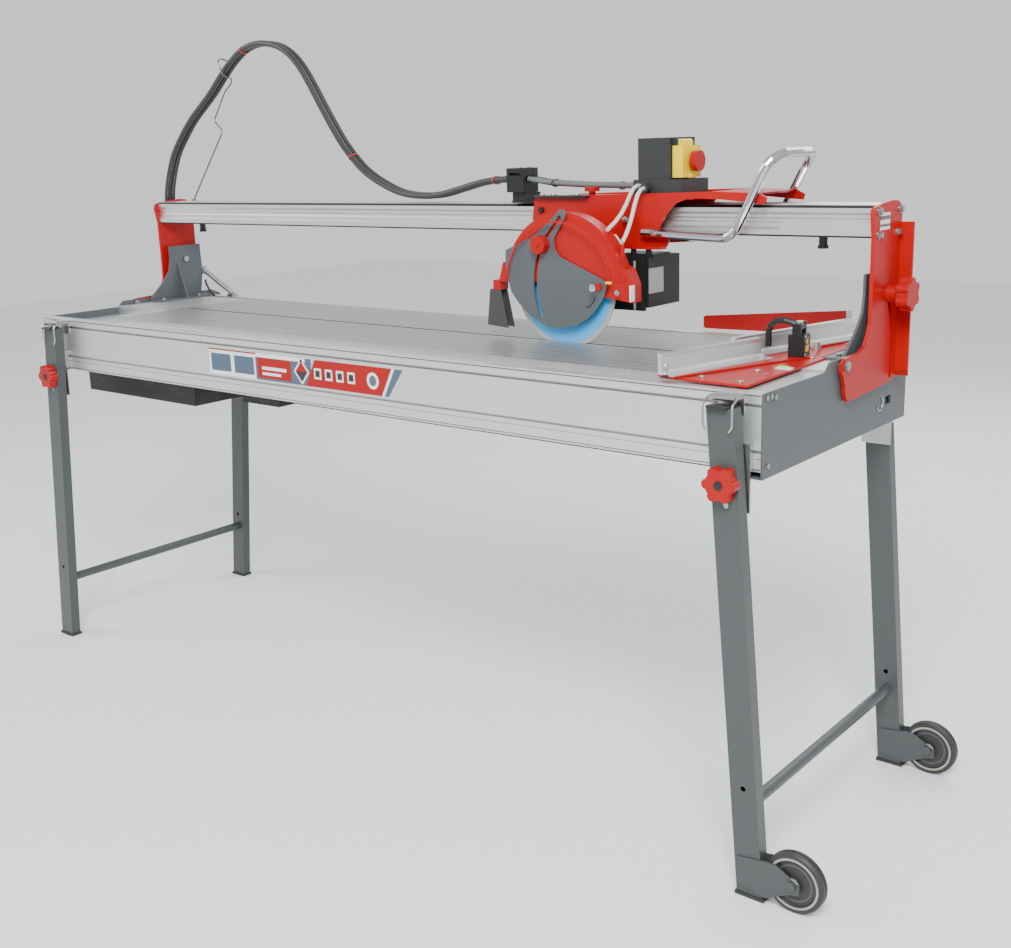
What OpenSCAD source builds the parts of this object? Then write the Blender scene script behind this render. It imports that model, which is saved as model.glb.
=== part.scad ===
// Bridge tile saw on folding legs, in millimetres.
// X runs along the cut, Y from the front to the back, Z up from the floor.

/* [Frame] */
// overall length of the two frame beams
beam_l = 2100; // [1500:10:2600]
// height of the beams' top edge over the floor
beam_top = 882; // [700:1:950]
// height of one beam
beam_h = 130; // [90:1:180]
// outer face of the front beam
front_y = -283; // [-340:1:-220]
// outer face of the rear beam
rear_y = 270; // [220:1:320]
// thickness of the upright hollow part of a beam
beam_w = 24; // [16:1:40]
// thickness of the painted end plates
plate_t = 3; // [2:0.5:6]
// back edge of the end plates
plate_back = 302; // [280:1:330]
// front and rear of the higher part of each end plate
plate_step_y = -58; // [-90:1:-20]

/* [Table] */
// height of the two ribbed table panels
table_z = 885; // [700:1:960]
// left end of the panels
table_x0 = -826; // [-1000:1:-600]
// right end of the panels
table_x1 = 986; // [800:1:1040]
// half width of the blade slot
slot_half = 6; // [4:0.5:10]
// outer edge of each panel from the slot
panel_edge = 210; // [150:1:240]

/* [Bridge] */
// front face and rear face of the rail
rail_y0 = 108; // [90:1:130]
rail_y1 = 220; // [190:1:250]
// underside and top of the rail
rail_z0 = 1099; // [1050:1:1120]
rail_z1 = 1157; // [1130:1:1200]
// inner face of the red columns
col_x = 1056; // [1040:1:1080]
// thickness of the column plate
col_t = 7; // [4:0.5:12]
// radius of the carriage's rollers
roller_r = 7.5; // [6:0.1:7.5]
// radius of the tilt slot about the tilt axis
tilt_r = 202.5; // [180:0.5:220]
// angle of the clamp stud over the level
tilt_a = 33; // [20:1:45]
// largest tilt of the bridge
tilt_max = 45; // [0:1:45]

/* [Cutting head] */
// diameter of the diamond blade
blade_d = 250; // [200:1:300]
// centre of the blade along the rail and its height
blade_x = 451; // [300:1:600]
blade_z = 999; // [980:1:1020]
// pivot of the head on its carriage
head_px = 330; // [300:1:360]
head_pz = 1146; // [1130:1:1160]

/* [Legs] */
// width and depth of the leg tube
leg_w = 50; // [30:1:60]
leg_d = 25; // [20:1:40]
// lean of the left and of the right legs, as run over rise
lean_l = 0.115; // [0:0.005:0.2]
lean_r = 0.080; // [0:0.005:0.2]
// height of the folding pins
fold_z = 700; // [650:1:730]
// left and right folding pins
fold_xl = -982; // [-1010:1:-940]
fold_xr = 1010; // [960:1:1030]
// radius and width of the transport wheels
wheel_r = 55; // [40:1:80]
wheel_w = 24; // [15:1:40]
// centre of the wheels along the saw
wheel_x = 1146; // [1110:1:1180]

/* [Angle stop] */
// pivot of the stop, and its angle away from square at rest
stop_px = 962; // [930:1:990]
stop_py = 40; // [0:1:120]
stop_a = 14; // [0:1:20]
// direction of the clamp's lever
clamp_a = 12; // [0:1:20]

/* [Hidden] */
$fn = 32;
off = [-44.255, 17.705, 0];
e = 0.01;
bx = beam_l / 2;
leg_fy = -325;
leg_ry = 276;
stud_y = tilt_r * cos(tilt_a);
stud_z = table_z + tilt_r * sin(tilt_a);
red = [0.76, 0.09, 0.08];
grey = [0.36, 0.39, 0.41];
alu = [0.78, 0.79, 0.78];
zinc = [0.72, 0.74, 0.76];
black = [0.12, 0.12, 0.13];
blue = [0.25, 0.62, 0.88];
yellow = [0.93, 0.87, 0.2];
clear = [0.85, 0.87, 0.85];

// stud in the lower guard's arc slit: radius and angle about its pin
arc_r = 160;
arc_a = 150;
arc_x = 551 + arc_r * cos(arc_a);
arc_z = 1004 + arc_r * sin(arc_a);

// route of the water hose from its junction over the loop to the clamp
hose_pts = [
  [-1084, 160, 1112], [-1084, 160, 1140], [-1080, 160, 1176],
  [-1066, 161, 1224], [-1036, 162, 1284], [-994, 163, 1332],
  [-948, 163, 1374], [-900, 163, 1408], [-850, 163, 1443],
  [-800, 163, 1484], [-752, 163, 1519], [-704, 163, 1544],
  [-655, 163, 1554], [-608, 163, 1552], [-562, 163, 1541],
  [-520, 163, 1517], [-484, 163, 1482], [-453, 163, 1440],
  [-421, 163, 1392], [-389, 163, 1346], [-356, 163, 1302],
  [-321, 163, 1265], [-286, 162, 1236], [-250, 161, 1215],
  [-212, 160, 1198], [-170, 159, 1183], [-128, 158, 1175],
  [-76, 158, 1172], [-24, 158, 1175], [34, 158, 1187],
  [94, 158, 1200], [140, 158, 1206], [186, 158, 1208]
];

// everything is drawn about the frame's middle and moved to the origin
module at() { translate(off) children(); }

// a round bar from a to b
module bar(a, b, r, n = 24) {
  v = b - a;
  l = norm(v);
  translate(a) rotate([0, acos(v[2] / l), atan2(v[1], v[0])])
    cylinder(h = l, r = r, $fn = n);
}

// a box given by two corners
module box(a, b) { translate(a) cube(b - a); }

// cylinders along one axis
module cyl_x(x0, x1, y, z, r, n = 32) {
  translate([x0, y, z]) rotate([0, 90, 0]) cylinder(h = x1 - x0, r = r, $fn = n);
}
module cyl_y(x, y0, y1, z, r, n = 32) {
  translate([x, y0, z]) rotate([-90, 0, 0]) cylinder(h = y1 - y0, r = r, $fn = n);
}
module cyl_z(x, y, z0, z1, r, n = 32) {
  translate([x, y, z0]) cylinder(h = z1 - z0, r = r, $fn = n);
}

// a YZ outline made into a plate from x0 to x1
module along_x(x0, x1) {
  translate([x0, 0, 0]) rotate([90, 0, 90]) linear_extrude(x1 - x0) children();
}

// an XZ outline made into a plate from y0 to y1
module along_y(y0, y1) {
  translate([0, y1, 0]) rotate([90, 0, 0]) linear_extrude(y1 - y0) children();
}

// a hexagon head bolt whose head stands on a face
module hex_x(x, y, z, s, r = 5, h = 4) {
  translate([x, y, z]) rotate([0, s * 90, 0]) cylinder(h = h, r = r, $fn = 6);
}
module hex_y(x, y, z, s, r = 5, h = 4) {
  translate([x, y, z]) rotate([-s * 90, 0, 0]) cylinder(h = h, r = r, $fn = 6);
}

// a knob with six lobes, its axis along Z, its back face at z = 0
module lobed(r, h, bore) {
  difference() {
    union() {
      cylinder(h = h, r = r * 0.8, $fn = 48);
      for (i = [0 : 5]) rotate(i * 60) translate([r * 0.72, 0, 0])
        cylinder(h = h, r = r * 0.28, $fn = 24);
    }
    translate([0, 0, -1]) cylinder(h = h * 0.6 + 1, r = bore, $fn = 32);
  }
}

// a flexible tube along a list of points, made of rings
function unit(v) = v / norm(v);
function mid_dir(p, i) =
  unit(p[min(i + 1, len(p) - 1)] - p[max(i - 1, 0)]);
function ring(p, i, r, n, ref) =
  let (t = mid_dir(p, i), s = unit(cross(t, ref)), u = cross(s, t))
  [for (k = [0 : n - 1])
    p[i] + r * (cos(k * 360 / n) * s + sin(k * 360 / n) * u)];
module tube(p, r, n = 10, ref = [0, 1, 0]) {
  m = len(p);
  pts = [for (i = [0 : m - 1]) each ring(p, i, r, n, ref)];
  sides = [for (i = [0 : m - 2], k = [0 : n - 1])
    [i * n + k, i * n + (k + 1) % n,
     (i + 1) * n + (k + 1) % n, (i + 1) * n + k]];
  polyhedron(
    pts,
    concat([[for (k = [n - 1 : -1 : 0]) k]], sides,
      [[for (k = [0 : n - 1]) (m - 1) * n + k]])
  );
}

// ---- frame ----

// a beam's outline with its outer face at y = 0 and its top at z = 0
module beam_outline() {
  difference() {
    union() {
      translate([0, -beam_h]) square([beam_w, beam_h]);
      translate([beam_w - e, -17]) square([57, 4]);
      translate([beam_w - e, -beam_h]) square([16, 4]);
    }
    translate([9, -beam_h + 3]) square([beam_w - 12, beam_h / 2 - 5]);
    translate([9, -beam_h / 2 + 1]) square([beam_w - 12, beam_h / 2 - 4]);
    for (z = [-20, -96]) {
      translate([-1, z - 2.5]) square([3, 5]);
      translate([1.9, z - 5]) square([4.5, 10]);
    }
    translate([-1, -62]) square([1.4, 1]);
  }
}

module front_beam() {
  color(alu) at() translate([0, front_y, beam_top])
    along_x(-bx, bx) beam_outline();
}

module rear_beam() {
  color(alu) at() translate([0, rear_y, beam_top]) mirror([0, 1, 0])
    along_x(-bx, bx) beam_outline();
}

// an end plate's outline: low at the front, higher under the bracket
module end_outline() {
  difference() {
    polygon([
      [front_y, 739], [plate_back, 739], [plate_back, 866],
      [plate_back - 14, 886], [plate_back - 40, 897], [plate_step_y + 16, 897],
      [plate_step_y, beam_top], [front_y, beam_top]
    ]);
    translate([0, table_z]) circle(r = 6.05, $fn = 32);
    translate([205, 778]) square([26, 16]);
  }
}

module end_plate(s) {
  color(grey) at() mirror([s < 0 ? 1 : 0, 0, 0]) {
    along_x(bx, bx + plate_t) end_outline();
    box([bx - 26, front_y, 739], [bx + e, rear_y - 8, 742]);
    box([bx - 26, front_y, 742 - e], [bx - 23, rear_y - 8, 748]);
  }
}
module end_plates() {
  end_plate(-1);
  end_plate(1);
}

// a ribbed panel: its slot edge is a thin lip, its underside has runners
module panel_outline() {
  difference() {
    union() {
      translate([slot_half, -3.5]) square([panel_edge - slot_half, 3.5]);
      for (y = [26, 88, 150, panel_edge - 4])
        translate([y, -16]) square([4, 15]);
    }
    for (i = [0 : 21]) translate([18 + i * 8.6, -0.7]) square([2.2, 1.7]);
  }
}

module table_front() {
  color(alu) at() translate([0, 0, table_z]) mirror([0, 1, 0])
    along_x(table_x0, table_x1) panel_outline();
}
module table_rear() {
  color(alu) at() translate([0, 0, table_z])
    along_x(table_x0, table_x1) panel_outline();
}

// a shelf between an end plate and the panels, from x0 to x1
module shelf(x0, x1) {
  box([x0, plate_step_y, table_z - 4], [x1, panel_edge, table_z]);
  box([x0, plate_step_y, table_z - 44], [x1, plate_step_y + 3, table_z - 3.99]);
  box([x0, panel_edge - 4, table_z - 16], [x1, panel_edge, table_z - 3.99]);
}
module end_shelves() {
  color(alu) at() difference() {
    union() {
      shelf(-bx, table_x0 - 1);
      shelf(table_x1 + 1, bx);
    }
    // slot for the blade's run-out, and room for the pivot bolts' heads
    box([table_x0 - 30, -slot_half, table_z - 5], [table_x0, slot_half, table_z + 1]);
    for (s = [-1, 1])
      box([s * (bx - 4) - 5, -12, table_z - 5], [s * (bx - 4) + 5, 12, table_z + 1]);
  }
}

// a shallow trough under the slot and a deep sump at its left end
module water_tray() {
  color(black) at() difference() {
    union() {
      box([-1018, -196, 724], [1010, 196, 800]);
      translate([0, 0, 725]) mirror([0, 0, 1])
        box([-1018, -192, 0], [-560, 192, 48]);
      box([-380, -186, 706], [-250, 186, 726]);
      // rims that lie on the beams' lower flanges
      box([-1018, front_y + beam_w + 1, 756], [1010, rear_y - beam_w - 1, 760]);
    }
    box([-1014, -192, 728], [1006, 192, 801]);
    box([-1014, -188, 681], [-564, 188, 730]);
    box([-376, -182, 710], [-254, 182, 730]);
  }
}

module pump() {
  color(black) at() {
    box([-900, -60, 681], [-810, 20, 742]);
    cyl_z(-855, -20, 742 - e, 768, 24);
    cyl_z(-880, 5, 742 - e, 778, 8);
  }
}

// the pump's lead comes up behind the left bracket
module pump_lead() {
  color(black) at() {
    tube([
      [-1034, 229.5, 930], [-1032, 231, 916], [-1027, 234, 904],
      [-1019, 237, 892], [-1008, 238, 882], [-994, 238, 875],
      [-974, 236, 872.5], [-940, 232, 872.5], [-900, 228, 872.5], [-866, 226, 872.5]
    ], 3.2, 8);
    box([-866, 219, 869], [-850, 233, 879]);
  }
}

// an upright bracket that stands on the shelf and carries the clamp stud
module bracket_outline() {
  difference() {
    polygon([
      [44, 897.2], [92, 940], [112, 966], [118, 1000], [118, 1034],
      [224, 1034], [226, 957], [216, 897.2]
    ]);
    translate([stud_y, stud_z]) circle(r = 5, $fn = 32);
  }
}
module bracket(s) {
  color(grey) at() mirror([s < 0 ? 1 : 0, 0, 0]) {
    along_x(bx - 12, bx - 7) bracket_outline();
    box([bx - 12, 44, table_z], [bx - 7, 216, 897.3]);
    box([bx - 50, 44, table_z], [bx - 12 + e, 216, table_z + 5]);
    along_y(140, 144) polygon([
      [bx - 12, 889], [bx - 12, 990], [bx - 46, 889]
    ]);
  }
}
module brackets() {
  bracket(-1);
  bracket(1);
}

module brace() {
  color(alu) at() {
    bar([-1040, 232, 958], [-952, 262, 889], 7);
    box([-962, 248, beam_top], [-938, 268, 889]);
    box([-1043, 225.5, 946], [-1038, 240, 968]);
  }
}

// clamp studs, fixed in the brackets
module tilt_studs() {
  color(zinc) at() for (s = [-1, 1]) mirror([s < 0 ? 1 : 0, 0, 0]) {
    cyl_x(bx - 16, bx + 50, stud_y, stud_z, 5);
    hex_x(bx - 12, stud_y, stud_z, -1, 9, 6);
  }
}

module pivot_bolts() {
  color(zinc) at() for (s = [-1, 1]) mirror([s < 0 ? 1 : 0, 0, 0]) {
    cyl_x(bx - 4, bx + 20, 0, table_z, 6);
    hex_x(bx - 0.01, 0, table_z, -1, 10, 6);
    translate([bx + 14.5, 0, table_z]) rotate([0, 90, 0])
      cylinder(h = 5, r = 9.5, $fn = 6);
  }
}

// heads of the screws that hold the end plates, the panels and the base
module frame_bolts() {
  color(zinc) at() {
    for (s = [-1, 1]) mirror([s < 0 ? 1 : 0, 0, 0]) {
      hex_x(bx + plate_t, -272, 874, 1, 5, 3);
      hex_x(bx + plate_t, -258, 874, 1, 5, 3);
      hex_x(bx + plate_t, -244, 871, 1, 5, 3);
      hex_x(bx + plate_t, -266, 760, 1, 5, 3);
      hex_y(bx - 12, rear_y, 872, 1, 6, 5);
      hex_y(bx - 12, rear_y, 768, 1, 6, 5);
      translate([bx - 32, 70, table_z + 5 - e]) cylinder(h = 4, r = 6, $fn = 6);
      translate([bx - 32, 190, table_z + 5 - e]) cylinder(h = 4, r = 6, $fn = 6);
    }
    for (p = [[987, -240], [986, -150], [992, 178], [952, 190]])
      cyl_z(p[0], p[1], table_z + 4 - e, table_z + 4.25, 5);
  }
}

// ---- legs ----

// how far a leg's middle has moved sideways at height z
function leg_x(s, z) = s < 0
  ? fold_xl - lean_l * (fold_z - z)
  : fold_xr + lean_r * (fold_z - z);

// one leg tube from z0 to z1 with the given side
module leg_tube(s, y, z0, z1) {
  w = leg_w / 2;
  difference() {
    along_y(y, y + leg_d) polygon([
      [leg_x(s, z0) - w, z0], [leg_x(s, z0) + w, z0],
      [leg_x(s, z1) + w, z1], [leg_x(s, z1) - w, z1]
    ]);
    along_y(y + 2, y + leg_d - 2) polygon([
      [leg_x(s, z0) - w + 2, z0 - 1], [leg_x(s, z0) + w - 2, z0 - 1],
      [leg_x(s, z1) + w - 2, z1 - 3], [leg_x(s, z1) - w + 2, z1 - 3]
    ]);
    cyl_y(leg_x(s, 203), y - 1, y + leg_d + 1, 203, 5);
  }
}

module leg_pin_hole(s, y) {
  cyl_y(s < 0 ? fold_xl : fold_xr, y - 1, y + leg_d + 1, fold_z, 5.05);
}

module leg_pair(s, foot) {
  difference() {
    leg_tube(s, leg_fy, foot, 862);
    leg_pin_hole(s, leg_fy);
  }
  difference() {
    leg_tube(s, leg_ry, foot, 724);
    leg_pin_hole(s, leg_ry);
  }
  cyl_y(leg_x(s, 165), leg_fy + leg_d - e, leg_ry + e, 165, 11);
  // stud for the clamp knob
  cyl_y(leg_x(s, 738), leg_fy - 12, leg_fy + 3, 738, 5);
}

module legs_left() { color(grey) at() leg_pair(-1, 6); }
module feet_left() {
  color(black) at() for (y = [leg_fy, leg_ry])
    box([leg_x(-1, 3) - 28, y - 3, 0], [leg_x(-1, 3) + 28, y + leg_d + 3, 6]);
}

// the right legs carry a fork for a wheel on their outer side
module fork(y) {
  x0 = leg_x(1, 40) + leg_w / 2 - 4;
  for (d = [-3 + e, leg_d - e]) difference() {
    along_y(y + d, y + d + 3) polygon([
      [x0 - 42, 22], [x0 - 42, 74], [x0 + 16, 82], [x0 + 32, 82], [wheel_x + 14, 58],
      [wheel_x + 14, 40], [wheel_x - 8, 34], [x0 + 14, 12]
    ]);
    cyl_y(wheel_x, y + d - 1, y + d + 4, 55, 5);
  }
}
module legs_right() {
  color(grey) at() {
    leg_pair(1, 6);
    fork(leg_fy);
    fork(leg_ry);
    for (y = [leg_fy, leg_ry]) {
      cyl_y(wheel_x, y - 8, y + leg_d + 8, 55, 5);
      hex_y(wheel_x, y - 3 + e, 55, -1, 9, 6);
      hex_y(wheel_x, y + leg_d + 3 - e, 55, 1, 9, 6);
    }
  }
}
module feet_right() {
  color(black) at() for (y = [leg_fy, leg_ry])
    box([leg_x(1, 3) - 28, y - 3, 0], [leg_x(1, 3) + 28, y + leg_d + 3, 6]);
}

module wheel(y) {
  c = y + leg_d / 2;
  color(black) at() translate([wheel_x, c + wheel_w / 2, 55]) rotate([90, 0, 0])
    rotate_extrude($fn = 72) difference() {
      polygon([
        [5.05, 0], [14, 0], [14, 5], [40, 5], [42, 1.5], [wheel_r - 3, 1.5],
        [wheel_r, 5], [wheel_r, wheel_w - 5], [wheel_r - 3, wheel_w - 1.5],
        [42, wheel_w - 1.5], [40, wheel_w - 5], [14, wheel_w - 5],
        [14, wheel_w], [5.05, wheel_w]
      ]);
      translate([wheel_r - 1, wheel_w / 2 - 1]) square([2, 2]);
    }
}
module wheel_front() { wheel(leg_fy); }
module wheel_rear() { wheel(leg_ry); }

// zinc plates under the beams with the folding pins
module leg_brackets() {
  color(zinc) at() for (s = [-1, 1]) {
    x = s < 0 ? fold_xl : fold_xr;
    box([x - 28, front_y - 13, 684], [x + 28, front_y - 10, 800]);
    box([x - 28, front_y - 10.01, 756], [x + 28, front_y, 800]);
    cyl_y(x, leg_fy + 1, front_y - 10.01, fold_z, 5);
    box([x - 30, rear_y, 756], [x + 30, rear_y + 3, 800]);
    box([x - 30, rear_y, 684], [x + 30, rear_y + 3, 757]);
    cyl_y(x, rear_y + 2, leg_ry + leg_d + 4, fold_z, 5);
    cyl_y(x, leg_ry + leg_d + 0.6, leg_ry + leg_d + 5, fold_z, 9, 6);
  }
}

module leg_knob(s) {
  z = 738;
  color(red) at() translate([leg_x(s, z), leg_fy - 0.4, z]) rotate([90, 0, 0]) {
    lobed(31, 20, 5.05);
  }
}
module knob_leg_left() { leg_knob(-1); }
module knob_leg_right() { leg_knob(1); }

// brackets on the beam's front that carry the wire bails
module latch_mounts() {
  color(zinc) at() for (s = [-1, 1]) {
    x = leg_x(s, 876);
    difference() {
      union() {
        box([x - 24, leg_fy + 12, 873], [x + 24, front_y, 879]);
        cyl_x(x - 24, x + 24, leg_fy + 12, 876, 5);
      }
      cyl_x(x - 25, x + 25, leg_fy + 12, 876, 2.05);
    }
    box([x - 24, front_y - 3, 846], [x + 24, front_y, 874]);
  }
}

// a wire bail that hangs over the front of a leg's top
module latch(s) {
  x = leg_x(s, 876);
  y = leg_fy + 12;
  f = leg_fy - 5;
  color(zinc) at() tube([
    [x - 21, f, 824], [x - 26, f, 831], [x - 27, f, 836], [x - 27, f, 864],
    [x - 27, f + 3, 869], [x - 27, y - 3, 875], [x - 25.5, y, 876],
    [x + 25.5, y, 876], [x + 27, y - 3, 875], [x + 27, f + 3, 869],
    [x + 27, f, 864], [x + 27, f, 836], [x + 26, f, 831], [x + 21, f, 824]
  ], 1.9, 8, [0.1, 1, 0.3]);
}
module latch_left() { latch(-1); }
module latch_right() { latch(1); }

// ---- bridge ----

module column_outline() {
  difference() {
    polygon([
      [96, 1142], [99, 1150], [106, 1154], [140, 1160], [180, 1163], [204, 1161],
      [219, 1154], [224, 1140], [224, 836], [206, 826], [40, 819],
      [12, 819], [4, 830], [2, 846], [-5, 862], [-14, 876],
      [-12, 890], [0, 898], [60, 901], [80, 908], [94, 926], [103, 946], [104, 980],
      [104, 1100], [96, 1142]
    ]);
    translate([0, table_z]) circle(r = 6.05, $fn = 32);
    tilt_slot();
  }
}

// an arc slot about the tilt axis for the clamp stud
module tilt_slot() {
  a0 = tilt_a - tilt_max - 1;
  n = 12;
  step = (tilt_max + 2) / n;
  translate([0, table_z]) {
    polygon(concat(
      [for (i = [0 : n]) (tilt_r + 6.5) * [cos(a0 + i * step), sin(a0 + i * step)]],
      [for (i = [n : -1 : 0]) (tilt_r - 6.5) * [cos(a0 + i * step), sin(a0 + i * step)]]
    ));
    for (a = [a0, a0 + tilt_max + 2])
      translate(tilt_r * [cos(a), sin(a)]) circle(r = 6.5, $fn = 24);
  }
}

module column(s) {
  color(red) at() mirror([s < 0 ? 1 : 0, 0, 0]) {
    along_x(col_x, col_x + col_t) column_outline();
    // rear flange bent outwards
    along_x(col_x + col_t - e, col_x + col_t + 25)
      polygon([[219, 846], [224, 834], [224, 1122], [219, 1122]]);
  }
}
module columns() {
  column(-1);
  column(1);
}

// the rail: a wide hollow section with a track in its front and back
module rail_outline() {
  h = rail_z1 - rail_z0;
  w = rail_y1 - rail_y0;
  difference() {
    translate([rail_y0, rail_z0]) polygon([
      [3, 0], [w - 3, 0], [w, 3], [w, 13], [w - 4, 18], [w - 4, 25], [w - 6, 28],
      [w - 6, 32], [w - 4, 35], [w - 4, 40], [w, 45], [w, h - 5], [w - 5, h],
      [5, h], [0, h - 5], [0, 45], [4, 40], [4, 35], [6, 32], [6, 28], [4, 25],
      [4, 18], [0, 13], [0, 3]
    ]);
    translate([rail_y0 + 10, rail_z0 + 4]) square([28, h - 8]);
    translate([rail_y0 + 42, rail_z0 + 4]) square([w - 84, h - 8]);
    translate([rail_y1 - 38, rail_z0 + 4]) square([28, h - 8]);
  }
}
module rail() { color(alu) at() along_x(-col_x, col_x) rail_outline(); }

module bridge_bolts() {
  color(zinc) at() for (s = [-1, 1]) mirror([s < 0 ? 1 : 0, 0, 0])
    for (p = [[118, 1146], [212, 1146], [121, 1104], [208, 1104]]) {
      translate([col_x + col_t - e, p[0], p[1]]) rotate([0, 90, 0])
        cylinder(h = 2, r = 8, $fn = 32);
      hex_x(col_x + col_t + 2 - e, p[0], p[1], 1, 6, 5);
    }
}

// rubber stops under the rail
module bumpers() {
  color(black) at() for (s = [-1, 1]) {
    cyl_z(s * 936, 164, 1080, rail_z0 + e, 8);
    cyl_z(s * 936, 164, 1074, 1080 + e, 10);
  }
}

// junction on the left column where the two hoses end, with a guide
module hose_junction() {
  color(black) at() {
    box([-1102, 144, 1048], [-1063 + e, 194, 1100]);
    cyl_z(-1084, 160, 1100 - e, 1112, 9.5);
    cyl_z(-1084, 178, 1100 - e, 1112, 9.5);
    difference() {
      box([-1100, 144, 1128], [-1063 + e, 196, 1136]);
      cyl_z(-1084, 160, 1120, 1140, 8.4);
      cyl_z(-1084, 178, 1120, 1140, 8.4);
    }
  }
}

// a wire stay that stands on the rail and hooks round the hoses
module support_wire() {
  color(zinc) at() {
    tube([
      [-1021, 206, rail_z1 - 1], [-1016, 206, 1165], [-870, 206, 1338],
      [-869, 206, 1347], [-894, 206, 1368], [-895, 206, 1377], [-848, 206, 1439],
      [-838, 205, 1448], [-808, 202, 1466], [-794, 194, 1476], [-788, 182, 1479],
      [-784, 168, 1480], [-778, 152, 1486], [-775, 145, 1500], [-782, 145, 1514],
      [-789, 150, 1523], [-792, 166, 1527], [-791, 180, 1522]
    ], 2, 6, [0.15, 0.2, -1]);
    cyl_z(-1021, 206, rail_z1 - e, rail_z1 + 4, 6);
  }
}

module hose_loop_front() { color(black) at() tube(hose_pts, 7.5); }
module hose_loop_rear() {
  color(black) at() tube([for (p = hose_pts) p + [0, 18, 0]], 7.5);
}

module tilt_knob(s) {
  color(red) at() mirror([s < 0 ? 1 : 0, 0, 0])
    translate([col_x + col_t + 0.5, stud_y, stud_z]) rotate([0, 90, 0]) {
      difference() {
        cylinder(h = 27, r = 15);
        translate([0, 0, -1]) cylinder(h = 29, r = 5.05, $fn = 32);
      }
      translate([0, 0, 26.99]) lobed(31, 22, 5.05);
    }
}
module knob_tilt_left() { tilt_knob(-1); }
module knob_tilt_right() { tilt_knob(1); }

// ---- carriage ----

// flat plates over and beside the rail that hold the four rollers
module carriage() {
  color(black) at() {
    difference() {
      union() {
        box([238, 97, 1160], [600, 231, 1164]);
        box([340, 97, 1108], [580, 101, 1160 + e]);
        box([340, 227, 1108], [580, 231, 1160 + e]);
      }
      for (x = [372, 548]) {
        box([x - 12, 90, 1117], [x + 12, 102, 1139]);
        box([x - 12, 226, 1117], [x + 12, 238, 1139]);
      }
    }
    for (x = [372, 548]) {
      box([x - 6, 101 - e, 1110], [x + 6, 107, 1114]);
      box([x - 6, 221, 1110], [x + 6, 227 + e, 1114]);
      cyl_z(x, 104.2, 1114 - e, 1160 + e, 2.5);
      cyl_z(x, 223.8, 1114 - e, 1160 + e, 2.5);
    }
    // ears and pins that carry the head
    box([head_px - 14, 93, 1128], [head_px + 14, 97 + e, 1160]);
    box([head_px - 14, 231 - e, 1128], [head_px + 14, 235, 1160]);
    cyl_y(head_px, 78, 93 + e, head_pz, 6);
    cyl_y(head_px, 235 - e, 250, head_pz, 6);
  }
}

// a roller that runs in the rail's track
module roller(x, y) {
  color(zinc) at() translate([x, y, 1120]) difference() {
    cylinder(h = 16, r = roller_r, $fn = 40);
    translate([0, 0, -1]) cylinder(h = 18, r = 2.55, $fn = 32);
  }
}
module roller_1() { roller(372, 104.2); }
module roller_2() { roller(548, 104.2); }
module roller_3() { roller(372, 223.8); }
module roller_4() { roller(548, 223.8); }

// two clamp halves that hold the hose pair at the carriage's end
module hose_clamp() {
  color(black) at() {
    difference() {
      box([188, 142, 1180], [236, 194, 1232]);
      for (y = [158, 176]) cyl_x(186, 238, y, 1208, 7.5);
      box([196, 141, 1216], [228, 195, 1222]);
    }
    box([196, 152, 1164], [250, 184, 1180 + e]);
    box([196, 152, 1160], [238, 184, 1164 + e]);
  }
}

// ---- head ----

// the red channel over the carriage, with a lobe that carries the motor
module cover_front() {
  polygon([
    [304, 1124], [310, 1165], [316, 1173], [740, 1183], [840, 1180], [858, 1172],
    [855, 1160], [760, 1168], [690, 1170], [660, 1160], [640, 1140], [622, 1112],
    [646, 1090], [640, 1076], [545, 1070], [520, 1098], [400, 1110]
  ]);
}
module head_cover() {
  color(red) at() {
    difference() {
      union() {
        along_y(84, 88) cover_front();
        along_y(240, 244) cover_front();
        box([322, 84, 1168], [700, 244, 1172]);
        // raised flange past the switch box
        along_y(84, 244) polygon([
          [690, 1168], [740, 1179], [838, 1176], [842, 1180], [740, 1183], [690, 1172]
        ]);
        // cross plate that carries the motor
        box([545, 60, 1072], [640, 84 + e, 1077]);
        // stud for the depth knob
        cyl_z(430, 128, 1172 - e, 1180, 3);
      }
      cyl_y(head_px, 80, 92, head_pz, 6.05);
      cyl_y(head_px, 236, 250, head_pz, 6.05);
    }
  }
}

// hoses along the top of the cover, from the clamp to the switch box
module top_hoses() {
  color(black) at() {
    tube([
      [238, 158, 1208], [262, 158, 1205], [300, 157, 1200], [350, 154, 1197],
      [400, 152, 1195], [450, 150, 1194], [500, 150, 1193], [540, 150, 1192]
    ], 6, 10);
    tube([
      [238, 176, 1208], [262, 176, 1204], [300, 174, 1199], [350, 170, 1195],
      [400, 168, 1193], [450, 166, 1192], [500, 166, 1191], [540, 166, 1190]
    ], 6, 10);
  }
}

// a mushroom knob that locks the plunge depth
module depth_knob() {
  color(red) at() translate([430, 128, 1172.4]) difference() {
    union() {
      cylinder(h = 10, r = 7);
      translate([0, 0, 9.99]) cylinder(h = 9, r = 16, $fn = 40);
    }
    translate([0, 0, -1]) cylinder(h = 10, r = 3.05, $fn = 32);
  }
}

// a square motor that hangs under the cover, with a flange at its front
module motor() {
  color(black) at() {
    difference() {
      box([500, 62, 956], [612, 178, 1056]);
      box([499, 165, 950], [560, 179, 985]);
    }
    box([494, 54, 950], [606, 62 + e, 1060]);
    box([545, 64, 1056 - e], [622, 126, 1063]);
    cyl_z(570, 72, 1063 - e, 1072 + e, 6);
    cyl_z(606, 72, 1063 - e, 1072 + e, 6);
    // gear housing that reaches to the blade's axis
    cyl_y(blade_x, 16, 56, blade_z, 52, 48);
    box([blade_x, 18, blade_z - 46], [510, 54 + e, blade_z + 46]);
  }
}

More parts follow.
